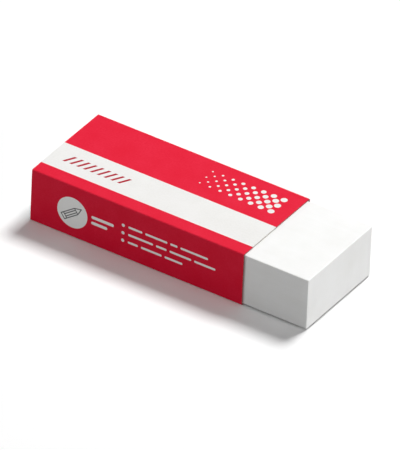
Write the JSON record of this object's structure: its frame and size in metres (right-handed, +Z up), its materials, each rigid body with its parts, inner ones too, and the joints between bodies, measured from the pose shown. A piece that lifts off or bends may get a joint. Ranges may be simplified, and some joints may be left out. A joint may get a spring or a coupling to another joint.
{
  "type": "rubber eraser",
  "caption": "White block eraser held by friction in a folded red card sleeve with a pale lengthwise band; one end stays bare for rubbing out.",
  "frame": {"origin": "under the middle of the whole object, on the plane that the sleeve's underside lies on", "axes": "+X along the eraser to its bare working end, +Y to the narrow side where the sleeve is glued, +Z up through the broad printed face with the band"},
  "size_m": [0.065, 0.024, 0.0122],
  "materials": {
    "printed_card": "satin",
    "eraser_compound": "matte"
  },
  "bodies": {
    "sleeve": {"card_sleeve": "printed_card"},
    "block": {"eraser_block": "eraser_compound"}
  },
  "joints": [
    {"name": "sleeve_slide", "type": "slide", "parent": "sleeve", "child": "block", "axis": [1, 0, 0], "range_m": [-0.015, 0.0505]}
  ]
}
